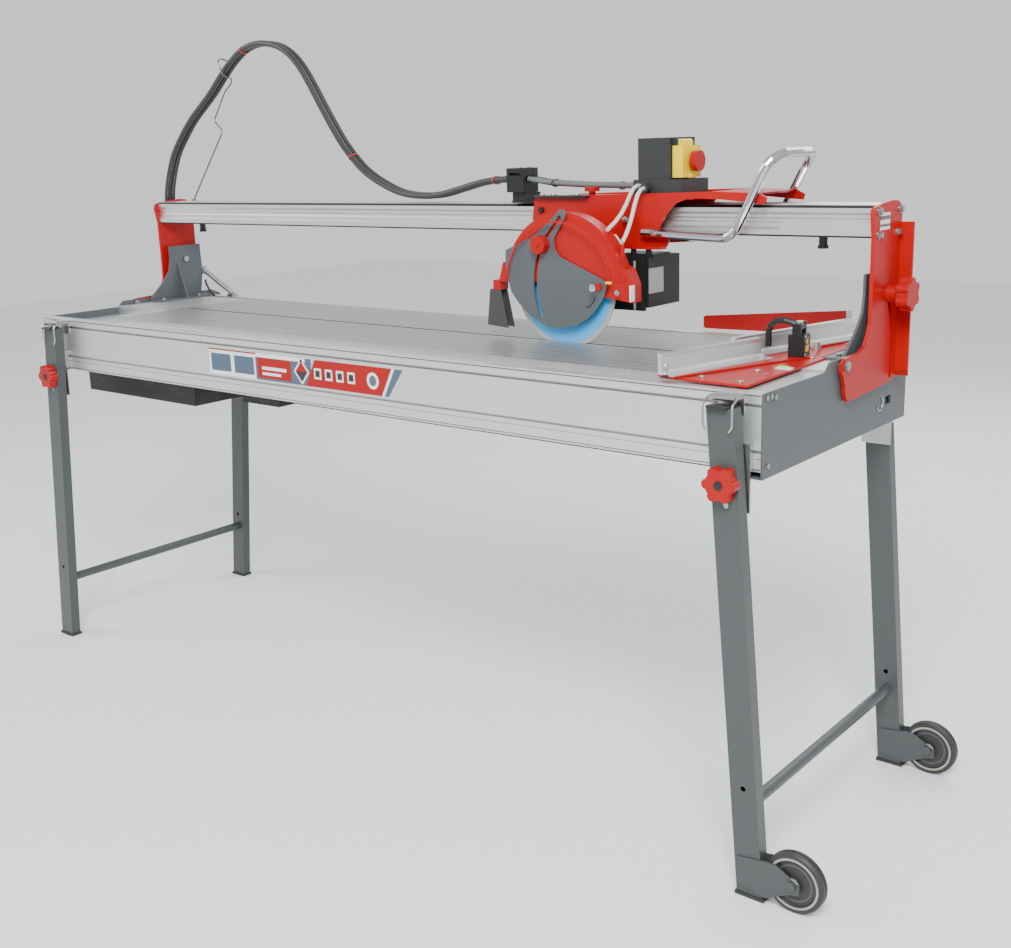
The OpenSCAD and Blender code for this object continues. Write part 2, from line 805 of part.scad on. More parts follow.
// the red upper guard: a hollow shell round the top half of the blade
module guard_shell(g) {
  intersection() {
    translate([457, 1000]) circle(r = 148 - g, $fn = 96);
    translate([290, 1008 - 10 * g]) square([340, 200]);
  }
}
module blade_guard() {
  color(red) at() {
    difference() {
      union() {
        along_y(-18, 14) guard_shell(0);
        along_y(-18, 14) polygon([
          [556, 984], [556, 1030], [574, 1056], [612, 1040], [626, 1010], [626, 975]
        ]);
        along_y(-18, 14) polygon([
          [290, 1004], [302, 1044], [326, 1048], [326, 1004]
        ]);
      }
      along_y(-15, 11) guard_shell(3);
      along_y(-15, 11) polygon([
        [548, 974], [548, 1030], [576, 1048], [604, 1034], [612, 1008], [612, 965]
      ]);
      along_y(-15, 11) polygon([[294, 1000], [306, 1041], [336, 1044], [336, 1000]]);
      cyl_y(blade_x, 5, 20, blade_z, 36, 48);
    }
    // hanger that ties the guard to the motor's flange
    box([511, 14 - e, 1012], [560, 54 + e, 1050]);
    // ear for the lower guard's pin
    cyl_y(551, -18, -15.01, 1004, 10);
    // pin that carries the lower guard, and the stud in its arc slit
    cyl_y(551, -26.5, -17.9, 1004, 5);
    cyl_y(551, -26.5, -23.6, 1004, 8, 6);
    cyl_y(arc_x, -44, -17.9, arc_z, 4);
    // bolt boss beside the box
    cyl_y(604, -19.6, -17.9, 1022, 7);
    // nipples for the water tubes
    cyl_z(556, -2, 1096, 1110, 5);
    cyl_z(590, 2, 1050, 1086, 5);
    // clip for the splash flap
    box([272, -16, 986], [292, 10, 1006]);
    box([290, -16, 1003], [304, 10, 1010]);
  }
}

// two clear tubes that bring water down to the guard
module water_tubes() {
  color(clear) at() {
    tube([
      [574, 92, 1194], [573, 82, 1195], [571, 72, 1190], [568, 64, 1178],
      [564, 56, 1160], [560, 44, 1142], [557, 28, 1128], [556, 12, 1119],
      [556, -2, 1112]
    ], 4, 8, [1, 0, 0]);
    tube([
      [592, 76, 1190], [592, 66, 1188], [591, 56, 1178], [590, 47, 1160],
      [590, 38, 1140], [590, 26, 1118], [590, 14, 1102], [590, 2, 1090]
    ], 4, 8, [1, 0, 0]);
  }
}

// the chrome pull handle, a bow over the rail
module handle() {
  // the front and the rear bar lie on the cover's outer faces
  color(zinc) at() tube([
    [590, 75, 1103], [680, 75, 1099], [766, 75, 1096], [778, 75, 1097],
    [790, 75, 1103], [800, 75, 1113], [828, 75, 1165], [854, 75, 1218],
    [861, 76, 1230], [868, 82, 1240], [876, 92, 1247], [882, 106, 1251],
    [884, 122, 1252], [883, 165, 1252], [880, 208, 1252], [877, 224, 1250],
    [871, 239, 1244], [862, 249, 1235], [853, 253, 1224], [846, 253, 1212],
    [824, 253, 1172], [802, 253, 1132], [796, 253, 1123], [787, 253, 1116],
    [774, 253, 1112], [690, 253, 1112], [606, 253, 1112]
  ], 9, 12, [0.5, 0.3, -0.8]);
}

// switch housing on the cover: a wide base and a taller body
module switch_box() {
  color(black) at() {
    difference() {
      union() {
        box([557, 92, 1172], [668, 196, 1206]);
        box([566, 96, 1205], [640, 190, 1286]);
      }
      box([560, 95, 1175], [665, 193, 1203]);
      box([569, 99, 1202], [637, 187, 1283]);
    }
    cyl_y(592, 76, 92 + e, 1190, 9);
    cyl_x(541, 557 + e, 150, 1192, 8);
    cyl_x(541, 557 + e, 166, 1190, 8);
    // ears and pin of the flap
    for (y = [106, 166]) box([640 - e, y, 1272], [651, y + 4, 1284]);
    cyl_y(646, 108, 168, 1278, 2.5);
  }
}

// yellow safety flap hinged along its upper edge on the switch body
module switch_flap() {
  color(yellow) at() difference() {
    union() {
      difference() {
        box([641.5, 104, 1209], [665, 172, 1270]);
        box([640, 108, 1213], [661, 168, 1266]);
      }
      box([643, 111, 1269], [651, 165, 1278]);
      cyl_y(646, 111, 165, 1278, 4.5);
    }
    cyl_x(630, 670, 138, 1240, 10.1);
    cyl_y(646, 100, 176, 1278, 2.55);
  }
}

module stop_button() {
  color(red) at() {
    cyl_x(650, 676, 138, 1240, 10);
    cyl_x(671, 684, 138, 1240, 20, 40);
  }
}

// ---- blade and lower guard ----

module blade() {
  color(blue) at() {
    cyl_y(blade_x, -1.1, 1.1, blade_z, blade_d / 2, 120);
    cyl_y(blade_x, -8, -1.1 + e, blade_z, 32, 48);
    cyl_y(blade_x, 1.1 - e, 6.5, blade_z, 32, 48);
    cyl_y(blade_x, -13, -8 + e, blade_z, 14, 6);
    cyl_y(blade_x, 6.5 - e, 15.6, blade_z, 12);
  }
}

// the grey lower guard with its finger lever and its arc slit
module guard_outline() {
  difference() {
    polygon([
      [314, 1070], [388, 1100], [447, 1144], [456, 1154], [466, 1153], [471, 1144],
      [469, 1136], [441, 1097], [443, 1074], [455, 1060], [559, 1019], [567, 1012],
      [568, 1002], [563, 986], [545, 960], [523, 940], [495, 924], [456, 916],
      [425, 916], [400, 924], [369, 942], [343, 964], [327, 984], [319, 1009],
      [313, 1039]
    ]);
    translate([551, 1004]) circle(r = 5.05, $fn = 32);
    polygon([[418, 1100], [425, 1097], [461, 1137], [456, 1143]]);
    translate([551, 1004]) arc_slit();
  }
}
module arc_slit() {
  n = 14;
  a1 = arc_a + 54;
  step = 54 / n;
  polygon(concat(
    [for (i = [0 : n]) (arc_r + 4.3) * [cos(arc_a + i * step), sin(arc_a + i * step)]],
    [for (i = [n : -1 : 0]) (arc_r - 4.3) * [cos(arc_a + i * step), sin(arc_a + i * step)]]
  ));
  for (a = [arc_a, a1]) translate(arc_r * [cos(a), sin(a)]) circle(r = 4.3, $fn = 24);
}
module guard_plate() {
  color(grey) at() along_y(-22.8, -19.8) guard_outline();
}
module guard_knob() {
  color(red) at() difference() {
    cyl_y(arc_x, -42, -23.4, arc_z, 19, 8);
    cyl_y(arc_x, -43, -23, arc_z, 4.05);
  }
}

// rubber flaps that hang behind the blade, bolted to the clip
module splash_flap() {
  color(black) at() {
    for (y = [-15, 6]) along_y(y, y + 3) polygon([
      [262, 986], [290, 986], [308, 906], [252, 910]
    ]);
    box([262, -15, 974], [268, 9, 986]);
  }
}

// ---- angle stop ----

module stop_base() {
  color(red) at() translate([0, 0, table_z]) linear_extrude(4) difference() {
    polygon([
      [840, -255], [1012, -262], [1005, 43], [995, 43], [991, 206], [940, 206], [893, -27]
    ]);
    translate([stop_px, stop_py]) circle(r = 4, $fn = 24);
  }
}

// outline of a fence: a foot, a slotted back and a rounded top bead
module fence_outline() {
  polygon([
    [-3, 0], [34, 0], [34, 2], [14, 4], [7, 8], [5, 28], [7, 32], [7, 36], [-5, 36],
    [-5, 32], [-3, 28]
  ]);
}
module fence(x, y0, y1, z) {
  translate([x, y1, z]) rotate([90, 0, 0]) linear_extrude(y1 - y0) fence_outline();
}

// two fences, the swing plate and the tapered arm turn on the base
module angle_stop() {
  color(alu) at() translate([stop_px, stop_py, table_z]) rotate(-stop_a) {
    fence(-42, -322, -74, 7.4);
    fence(-75, -108, 239, 7.4);
    translate([0, 0, 4.4]) linear_extrude(3.01) difference() {
      polygon([
        [-45, -322], [-8, -322], [14, -90], [26, 0], [-40, 100], [-40, 239],
        [-80, 239], [-80, -108], [-45, -108]
      ]);
      circle(r = 4.05, $fn = 32);
    }
    // roller beside the pivot
    cyl_z(-22, 61, 7.3, 22, 8);
    // tapered arm standing on the rear of the table
    translate([-78, 233, 0]) rotate(180 + 14.6) translate([0, -1.5, 0])
      rotate([90, 0, 0]) linear_extrude(3, center = true) polygon([
        [-2, 8], [300, 2], [330, 2], [334, 6], [334, 26], [330, 29], [-2, 58]
      ]);
  }
}

// the clamp stands over the stop's pivot and is turned by clamp_a
module clamp_at() {
  at() translate([stop_px, stop_py, table_z]) rotate(clamp_a) children();
}

// pivot bolt with a clamp body and two ears that carry the lever
module stop_clamp() {
  color(black) clamp_at() {
    cyl_z(0, 0, 0, 9, 4);
    box([-20, -34, 7.8], [10, 8, 48]);
    for (y = [-34, 2]) box([-13, y, 48 - e], [3, y + 6, 68]);
    cyl_y(-5, -32, 6, 60, 3);
  }
}

// a lever that arches over the fence and ends in an upright grip
module stop_lever() {
  color(black) clamp_at() difference() {
    union() {
      cyl_y(-5, -26.5, 0.5, 60, 8);
      tube([
        [-7, -13, 61], [-18, -13, 67], [-33, -13, 71], [-48, -13, 69],
        [-58, -13, 61], [-62, -13, 50], [-62, -13, 22]
      ], 6, 8);
    }
    cyl_y(-5, -40, 10, 60, 3.05);
  }
}

// ---- every sub-part by name ----

front_beam();
rear_beam();
end_plates();
table_front();
table_rear();
end_shelves();
water_tray();
pump();
pump_lead();
brackets();
brace();
tilt_studs();
pivot_bolts();
frame_bolts();
leg_brackets();
latch_mounts();
legs_left();
feet_left();
legs_right();
feet_right();
wheel_front();
wheel_rear();
knob_leg_left();
knob_leg_right();
latch_left();
latch_right();
columns();
rail();
bridge_bolts();
bumpers();
hose_junction();
support_wire();
hose_loop_front();
hose_loop_rear();
knob_tilt_left();
knob_tilt_right();
carriage();
roller_1();
roller_2();
roller_3();
roller_4();
hose_clamp();
head_cover();
top_hoses();
depth_knob();
motor();
blade_guard();
water_tubes();
handle();
switch_box();
switch_flap();
stop_button();
blade();
guard_plate();
guard_knob();
splash_flap();
stop_base();
angle_stop();
stop_clamp();
stop_lever();
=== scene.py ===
"""The wet tile saw: its finishes, its hoses and the small parts on its frame, rail and head."""

import bmesh
import bpy
import math
from mathutils import Matrix, Vector


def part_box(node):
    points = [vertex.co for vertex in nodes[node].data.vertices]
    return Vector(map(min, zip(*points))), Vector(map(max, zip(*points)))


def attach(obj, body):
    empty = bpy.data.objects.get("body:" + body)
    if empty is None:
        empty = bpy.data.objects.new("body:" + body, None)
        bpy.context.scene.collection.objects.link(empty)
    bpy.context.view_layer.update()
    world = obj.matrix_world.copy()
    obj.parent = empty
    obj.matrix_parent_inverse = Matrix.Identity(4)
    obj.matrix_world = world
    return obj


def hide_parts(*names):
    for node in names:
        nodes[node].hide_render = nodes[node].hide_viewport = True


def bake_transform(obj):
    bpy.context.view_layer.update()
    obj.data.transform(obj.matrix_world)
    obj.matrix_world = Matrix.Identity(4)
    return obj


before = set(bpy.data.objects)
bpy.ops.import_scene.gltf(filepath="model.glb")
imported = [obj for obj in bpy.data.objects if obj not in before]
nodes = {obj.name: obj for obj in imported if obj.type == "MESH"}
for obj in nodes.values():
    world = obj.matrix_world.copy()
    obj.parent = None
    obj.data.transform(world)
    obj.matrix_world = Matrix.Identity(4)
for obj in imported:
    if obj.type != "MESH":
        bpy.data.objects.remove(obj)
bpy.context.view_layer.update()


# ---- Camera ----
# It stands in front of the right-hand end, a little over the rail, and looks down along the table.
camera = bpy.data.objects.new("camera", bpy.data.cameras.new("camera"))
bpy.context.scene.collection.objects.link(camera)
bpy.context.scene.camera = camera
camera.matrix_world = (
    Matrix.Translation((1.9419, -2.0331, 1.2774))
    @ Matrix.Rotation(math.radians(39.389), 4, "Z")
    @ Matrix.Rotation(math.radians(90 - 14.241), 4, "X")
    @ Matrix.Rotation(math.radians(-1.827), 4, "Z")
)
camera.data.lens = 44.49
camera.data.sensor_width = 36
camera.data.shift_x = -0.0092
camera.data.shift_y = -0.0098


# ---- Water hoses ----
# Two black rubber hoses, one behind the other, rise from the junction on the left column, arch over
# and run down to the clamp on the carriage. Red ties hold them together.
class Number:
    """A value that changes over a surface. Arithmetic on it adds Math nodes."""

    def __init__(self, tree, socket):
        self.tree, self.socket = tree, socket

    def math(self, operation, *values):
        node = self.tree.nodes.new("ShaderNodeMath")
        node.operation = operation
        for place, value in enumerate(values):
            if isinstance(value, Number):
                self.tree.links.new(value.socket, node.inputs[place])
            else:
                node.inputs[place].default_value = value
        return Number(self.tree, node.outputs[0])

    def __add__(self, other):
        return self.math("ADD", self, other)

    def __sub__(self, other):
        return self.math("SUBTRACT", self, other)

    def __rsub__(self, other):
        return self.math("SUBTRACT", other, self)

    def __mul__(self, other):
        return self.math("MULTIPLY", self, other)

    def __gt__(self, other):
        return self.math("GREATER_THAN", self, other)

    def __lt__(self, other):
        return self.math("LESS_THAN", self, other)

    def __pow__(self, other):
        return self.math("POWER", self, other)

    def wave(self, pitch):
        """0 to 1 and back once in each pitch."""
        return self.math("PINGPONG", self, pitch / 2) * (2 / pitch)

    __radd__ = __add__
    __rmul__ = __mul__


class Finish:
    """A material: one Principled shader, and the nodes that vary its colour, roughness and bump."""

    def __init__(self, name, color, roughness, metallic=0.0, **fixed):
        self.material = bpy.data.materials.new(name)
        self.material.use_nodes = True
        self.tree = self.material.node_tree
        self.shader = self.tree.nodes["Principled BSDF"]
        self.shader.inputs["Base Color"].default_value = (*color, 1)
        self.shader.inputs["Roughness"].default_value = roughness
        self.shader.inputs["Metallic"].default_value = metallic
        for socket, value in fixed.items():
            self.shader.inputs[socket.replace("_", " ")].default_value = value
        self.color = (*color, 1)
        self.roughness = roughness

    def node(self, kind, settings=None, **values):
        made = self.tree.nodes.new(kind)
        for key, value in (settings or {}).items():
            setattr(made, key, value)
        for key, value in values.items():
            self.put(made.inputs[key.replace("_", " ")], value)
        return made

    def put(self, socket, value):
        if isinstance(value, Number):
            value = value.socket
        if isinstance(value, bpy.types.NodeSocket):
            self.tree.links.new(value, socket)
        else:
            socket.default_value = value

    def place(self, stretch=(1, 1, 1)):
        where = self.node("ShaderNodeTexCoord").outputs["Object"]
        return self.node("ShaderNodeMapping", Vector=where, Scale=stretch).outputs[0]

    def axis(self, letter):
        split = self.node("ShaderNodeSeparateXYZ", Vector=self.place())
        return Number(self.tree, split.outputs[letter])

    def noise(self, scale, stretch=(1, 1, 1), detail=3.0):
        made = self.node("ShaderNodeTexNoise", Vector=self.place(stretch), Scale=scale, Detail=detail)
        return Number(self.tree, made.outputs["Fac"])

    def distance(self, x, z):
        """How far a point is from the Y-wise line through x and z."""
        return ((self.axis("X") - x) ** 2 + (self.axis("Z") - z) ** 2) ** 0.5

    def tint(self, mask, color):
        mix = self.node("ShaderNodeMix", {"data_type": "RGBA"})
        self.put(mix.inputs[0], mask)
        self.put(mix.inputs[6], self.color)
        self.put(mix.inputs[7], (*color, 1))
        self.color = mix.outputs[2]
        self.put(self.shader.inputs["Base Color"], self.color)
        return self

    def metal(self, mask):
        """Bare metal outside the mask, paint inside it."""
        self.put(self.shader.inputs["Metallic"], (1 - mask) * 0.85)
        return self

    def rough(self, change):
        self.roughness = change + self.roughness
        self.put(self.shader.inputs["Roughness"], self.roughness)
        return self

    def bump(self, height, strength=0.3, distance=0.001):
        node = self.node("ShaderNodeBump", Strength=strength, Distance=distance, Height=height)
        self.put(self.shader.inputs["Normal"], node.outputs[0])
        return self


def rubber(name, color=(0.022, 0.022, 0.024), roughness=0.5):
    made = Finish(name, color, roughness)
    made.tint(made.noise(18) * 0.35, tuple(c * 2.2 for c in color))
    return made.rough(made.noise(90) * 0.12 - 0.06).bump(made.noise(240), 0.05, 0.0003)


def curve_through(points, steps):
    """Points on a smooth line through the given ones, steps of them for each gap."""
    rows = [Vector(p) for p in points]
    found = []
    for i in range(len(rows) - 1):
        a, b, c, d = (rows[max(i - 1, 0)], rows[i], rows[i + 1], rows[min(i + 2, len(rows) - 1)])
        for t in (k / steps for k in range(steps)):
            found.append(0.5 * ((2 * b) + (c - a) * t + (2 * a - 5 * b + 4 * c - d) * t * t
                                + (3 * b - a - 3 * c + d) * t * t * t))
    return found + [rows[-1]]


def tube(name, points, radius, finish, body=None, sides=6):
    """A round bar or hose with closed ends along the points."""
    curve = bpy.data.curves.new(name, "CURVE")
    curve.dimensions = "3D"
    curve.bevel_depth = radius
    curve.bevel_resolution = sides
    curve.use_fill_caps = True
    line = curve.splines.new("POLY")
    line.points.add(len(points) - 1)
    for spot, point in zip(line.points, points):
        spot.co = (*point, 1)
    shape = bpy.data.objects.new(name, curve)
    bpy.context.scene.collection.objects.link(shape)
    bpy.context.view_layer.update()
    mesh = bpy.data.meshes.new_from_object(shape.evaluated_get(bpy.context.evaluated_depsgraph_get()))
    bpy.data.objects.remove(shape)
    made = bpy.data.objects.new(name, mesh)
    bpy.context.scene.collection.objects.link(made)
    mesh.materials.clear()
    mesh.materials.append(finish.material)
    for face in mesh.polygons:
        face.use_smooth = True
    mesh.set_sharp_from_angle(angle=math.radians(50))
    if body:
        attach(made, body)
    return made


hose_route = [
    (-1084, 160, 1112), (-1084, 160, 1140), (-1080, 160, 1176), (-1066, 161, 1224), (-1036, 162, 1284),
    (-994, 163, 1332), (-948, 163, 1374), (-900, 163, 1408), (-850, 163, 1443), (-800, 163, 1484),
    (-752, 163, 1519), (-704, 163, 1544), (-655, 163, 1554), (-608, 163, 1552), (-562, 163, 1541),
    (-520, 163, 1517), (-484, 163, 1482), (-453, 163, 1440), (-421, 163, 1392), (-389, 163, 1346),
    (-356, 163, 1302), (-321, 163, 1265), (-286, 162, 1236), (-250, 161, 1215), (-212, 160, 1198),
    (-170, 159, 1183), (-128, 158, 1175), (-76, 158, 1172), (-24, 158, 1175), (34, 158, 1187),
    (94, 158, 1200), (140, 158, 1206), (186, 158, 1208)
]
middle = Vector((-0.044255, 0.017705, 0))
black_hose = rubber("hose rubber", (0.02, 0.021, 0.022), 0.36)
tie_red = Finish("tie plastic", (0.50, 0.006, 0.005), 0.35)
tie_red.rough(tie_red.noise(200) * 0.1)
hose_line = [Vector(p) / 1000 + middle for p in hose_route]
for name, shift in (("hose_loop_front", 0), ("hose_loop_rear", 0.018)):
    path = curve_through([p + Vector((0, shift, 0)) for p in hose_line], 4)
    hose = tube(name + "_rubber", path, 0.0075, black_hose)
    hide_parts(name)
    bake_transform(hose)
    length = sum((b - a).length for a, b in zip(path, path[1:]))
for number, index in enumerate((11, 21, 31)):
    a = hose_line[index] + Vector((0, 0.009, 0))
    along = (hose_line[index + 1] - hose_line[index]).normalized()
    up = along.cross(Vector((0, 1, 0))).normalized()
    ring = [a + up * 0.0085 * math.sin(t) + Vector((0, 0.0175 * math.cos(t), 0))
            for t in (math.radians(15 * k) for k in range(25))]
    tie = tube(f"hose_tie_{number}", ring, 0.0016, tie_red, sides=3)
    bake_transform(tie)


# ---- Beams ----
# Two long extruded aluminium sections, anodised, with fine draw lines along their length. The front
# one has grooves along its face, drawn as dark strips of painted shade.
def aluminium(name, along="X", color=(0.74, 0.75, 0.74), roughness=0.34):
    stretch = {"X": (1.2, 260, 260), "Y": (260, 1.2, 260), "Z": (260, 260, 1.2)}[along]
    made = Finish(name, color, roughness, 0.85)
    lines = made.noise(6, stretch, 4)
    made.tint(made.noise(2.2, (1, 3, 3)) * 0.25, tuple(c * 0.82 for c in color))
    made.tint(lines * 0.3, tuple(min(1, c * 1.14) for c in color))
    return made.rough(lines * 0.22 - 0.1).bump(lines, 0.12, 0.0004)


def dress(finish, *names):
    """Gives CAD nodes their finish."""
    for name in names:
        nodes[name].data.materials.clear()
        nodes[name].data.materials.append(finish.material)


beam_finish = aluminium("beam aluminium", color=(0.72, 0.73, 0.72), roughness=0.4)
dress(beam_finish, "front_beam", "rear_beam")


def box(*names):
    """The corners of some CAD nodes together."""
    found = [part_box(name) for name in names]
    return (Vector([min(lo[i] for lo, _ in found) for i in range(3)]),
            Vector([max(hi[i] for _, hi in found) for i in range(3)]))


def block(bm, lo, hi, round_by=0.0, steps=2):
    """A box with rounded edges."""
    lo, hi = Vector(lo), Vector(hi)
    made = bmesh.ops.create_cube(bm, size=1)["verts"]
    bmesh.ops.scale(bm, vec=hi - lo, verts=made)
    bmesh.ops.translate(bm, vec=(lo + hi) / 2, verts=made)
    if round_by:
        edges = list({edge for vert in made for edge in vert.link_edges})
        bmesh.ops.bevel(bm, geom=edges, offset=round_by, offset_type="OFFSET", segments=steps,
                        profile=0.5, affect="EDGES", material=-1)


def rod(bm, start, end, radius, sides=32, round_by=0.0, end_radius=None):
    """A round or many-sided bar, with its rims rounded."""
    start, end = Vector(start), Vector(end)
    line = end - start
    place = Matrix.Translation((start + end) / 2) @ line.to_track_quat("Z", "Y").to_matrix().to_4x4()
    far = radius if end_radius is None else end_radius
    made = bmesh.ops.create_cone(bm, cap_ends=True, segments=sides, radius1=radius, radius2=far,
                                 depth=line.length, matrix=place)["verts"]
    if round_by:
        faces = {face for vert in made for face in vert.link_faces if len(face.verts) == sides}
        rims = list({edge for face in faces for edge in face.edges})
        bmesh.ops.bevel(bm, geom=rims, offset=round_by, offset_type="OFFSET", segments=2,
                        profile=0.5, affect="EDGES", material=-1)


def piece(name, bm, finish, body, sharp=32):
    """Closes a piece's mesh, gives it its finish and ties it to its body."""
    bmesh.ops.recalc_face_normals(bm, faces=bm.faces)
    mesh = bpy.data.meshes.new(name)
    bm.to_mesh(mesh)
    bm.free()
    mesh.materials.append(finish.material)
    for face in mesh.polygons:
        face.use_smooth = True
    mesh.set_sharp_from_angle(angle=math.radians(sharp))
    made = bpy.data.objects.new(name, mesh)
    bpy.context.scene.collection.objects.link(made)
    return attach(made, body)


beam_lo, beam_hi = box("front_beam")
# Painted shade: dark strips laid on the front face where its grooves lie.
groove_painted_shade = aluminium("groove shade", color=(0.16, 0.17, 0.17), roughness=0.5)
bm = bmesh.new()
for height, deep in ((beam_hi.z - 0.004, 0.0022), (beam_hi.z - 0.021, 0.0008), (beam_lo.z + 0.022, 0.0008),
                     (beam_lo.z + 0.004, 0.0016)):
    block(bm, (beam_lo.x + 0.001, beam_lo.y - 0.0003, height - deep / 2),
          (beam_hi.x - 0.001, beam_lo.y + 0.001, height + deep / 2))
piece("front_beam_grooves", bm, groove_painted_shade, "frame")


# ---- Front sticker ----
# A long printed plastic label on the front beam: a white end, red blocks with four small plain
# squares, a grey-blue band and a slanted end.
def plastic(name, color, roughness=0.4, speck=0.1):
    made = Finish(name, color, roughness, Specular_IOR_Level=0.3)
    made.tint(made.noise(7) * speck, tuple(c * 0.7 for c in color))
    return made.rough(made.noise(120) * 0.12 - 0.06).bump(made.noise(300), 0.04, 0.0003)


sticker_white = plastic("label white", (0.80, 0.81, 0.80), 0.45)
sticker_red = plastic("label red", (0.34, 0.003, 0.003), 0.45)
sticker_blue = plastic("label grey-blue", (0.07, 0.11, 0.16), 0.45)
sticker_dark = plastic("label dark", (0.03, 0.03, 0.035), 0.45)
label_x = (-0.366 + middle.x, 0.253 + middle.x)
label_z = (beam_lo.z + 0.041, beam_hi.z - 0.030)


def flat(bm, lift, outline):
    """A thin printed shape; outline is in shares of the label's length and height."""
    points = [(label_x[0] + u * (label_x[1] - label_x[0]), label_z[0] + v * (label_z[1] - label_z[0]))
              for u, v in outline]
    front = [bm.verts.new((x, beam_lo.y - 0.0002 - lift * 0.00012, z)) for x, z in points]
    back = [bm.verts.new((x, beam_lo.y + 0.0002, z)) for x, z in points]
    bm.faces.new(front)
    bm.faces.new(back[::-1])
    for i in range(len(points)):
        bm.faces.new((front[i], front[i - 1], back[i - 1], back[i]))


def bar(lo, hi, low=0.0, high=1.0, lean=0.0):
    return [(lo, low), (hi, low), (hi + lean, high), (lo + lean, high)]


def round_mark(wide, tall):
    """The round mark near the label's slanted end."""
    return [(0.86 + wide * math.cos(t), 0.5 + tall * math.sin(t))
            for t in (math.radians(30 * k) for k in range(12))]


squares = (0.575, 0.63, 0.685, 0.74)
prints = {
    sticker_white: [(1, bar(0, 0.265)), (2, bar(0.265, 0.53, 0.86)), (3, bar(0.30, 0.43, 0.40, 0.52)),
                    (3, bar(0.30, 0.40, 0.20, 0.30)),
                    (2, [(0.51, 0.02), (0.55, 0.5), (0.51, 0.98), (0.47, 0.5)]),
                    *((4, bar(u, u + 0.035, 0.3, 0.7)) for u in squares),
                    (4, round_mark(0.028, 0.30)), (4, bar(0.90, 0.912, 0.0, 1.0, 0.05))],
    sticker_blue: [(2, bar(0.012, 0.125, 0.14, 0.82)), (2, bar(0.145, 0.255, 0.14, 0.82)),
                   (1, bar(0.265, 0.56)), (1, [(0.88, 0), (0.93, 0), (1, 1), (0.88, 1)]),
                   (5, round_mark(0.017, 0.19))],
    sticker_red: [(3, bar(0, 0.27, 0.95, 1.0)), (2, bar(0.275, 0.455, 0.08, 0.84)),
                  (3, [(0.51, 0.12), (0.541, 0.5), (0.51, 0.88), (0.479, 0.5)]),
                  (2, bar(0.53, 0.90, 0.0, 1.0, 0.05))],
    sticker_dark: [*((5, bar(u + 0.006, u + 0.029, 0.38, 0.62)) for u in squares),
                   (4, [(0.51, 0.12), (0.541, 0.5), (0.479, 0.5)])],
}
for finish, shapes in prints.items():
    bm = bmesh.new()
    for lift, outline in shapes:
        flat(bm, lift, outline)
    piece("front_sticker_" + finish.material.name.split()[-1], bm, finish, "frame")


# ---- End plates and brackets ----
# Pressed steel plates in grey powder coat close both ends of the frame. A grey upright bracket stands
# on each end's shelf and carries the bridge, and a zinc brace props the left one.
def paint(name, color, roughness=0.42, coat=0.15):
    made = Finish(name, color, roughness, Coat_Weight=coat, Specular_IOR_Level=0.28)
    made.tint(made.noise(5) * 0.3, tuple(c * 0.86 for c in color))
    return made.rough(made.noise(90) * 0.12 - 0.06).bump(made.noise(220), 0.05, 0.0003)


grey_paint = paint("grey paint", (0.080, 0.091, 0.098))
dress(grey_paint, "end_plates", "brackets", "guard_plate")
leg_paint = paint("leg paint", (0.060, 0.070, 0.070), 0.38)
dress(leg_paint, "legs_left", "legs_right")
steel = Finish("zinc plate", (0.46, 0.47, 0.46), 0.32, 1.0)
steel.tint(steel.noise(60) * 0.4, (0.30, 0.31, 0.31)).rough(steel.noise(90) * 0.25 - 0.1)
steel.bump(steel.noise(700), 0.1, 0.0003)
dress(steel, "frame_bolts", "bridge_bolts", "tilt_studs", "pivot_bolts", "leg_brackets", "latch_mounts",
      "latch_left", "latch_right", "brace")
wire = Finish("dark wire", (0.16, 0.16, 0.165), 0.35, 1.0)
wire.rough(wire.noise(90) * 0.2)
dress(wire, "support_wire")
plate_lo, plate_hi = box("end_plates")
hook = [(plate_hi.x + 0.001, plate_lo.y + 0.462 + 0.012 * math.cos(t), 0.786 + 0.014 * math.sin(t))
        for t in (math.radians(200 + 14 * k) for k in range(17))]
tube("end_plate_hook", curve_through(hook, 2), 0.0017, steel, "frame", 3)
hinge_lo, hinge_hi = box("leg_brackets")
hinge_yz = (0.298, 0.758)
bm = bmesh.new()
for x, out in ((hinge_lo.x, -1), (hinge_hi.x, 1)):
    rod(bm, (x - out * 0.001, *hinge_yz), (x + out * 0.0014, *hinge_yz), 0.0085, 32, 0.0004)
    rod(bm, (x + out * 0.001, *hinge_yz), (x + out * 0.0050, *hinge_yz), 0.0058, 6, 0.0006)
piece("hinge_bolts", bm, steel, "frame")


# ---- Table and shelves ----
# Two extruded aluminium panels with fine ribs, one on each side of the slot. Plain aluminium shelves
# close both ends.
table_lo, table_hi = box("table_front", "table_rear")
table_finish = aluminium("table aluminium", color=(0.56, 0.57, 0.56), roughness=0.38)
# Painted shade: dark stripes along the valleys between the table's ribs.
ribs = table_finish.axis("Y").wave(0.0051)
table_finish.tint((ribs > 0.60) * 0.8, (0.24, 0.25, 0.25))
scuffs = table_finish.noise(30, (6, 1, 1)) > 0.66
table_finish.tint(scuffs * 0.25, (0.86, 0.87, 0.86))
dress(table_finish, "table_front", "table_rear")
shelf_finish = aluminium("shelf aluminium", "Y", (0.60, 0.61, 0.61), 0.4)
dress(shelf_finish, "end_shelves")
shelf_lo, shelf_hi = box("end_shelves")
bm = bmesh.new()
for x_lo, x_hi, drop in ((shelf_lo.x, table_lo.x - 0.001, 0.024), (table_hi.x + 0.001, shelf_hi.x, 0.006)):
    block(bm, (x_lo, beam_lo.y + 0.030, shelf_hi.z - drop), (x_hi, shelf_lo.y, shelf_hi.z - drop + 0.002))
piece("end_shelf_fronts", bm, shelf_finish, "frame")


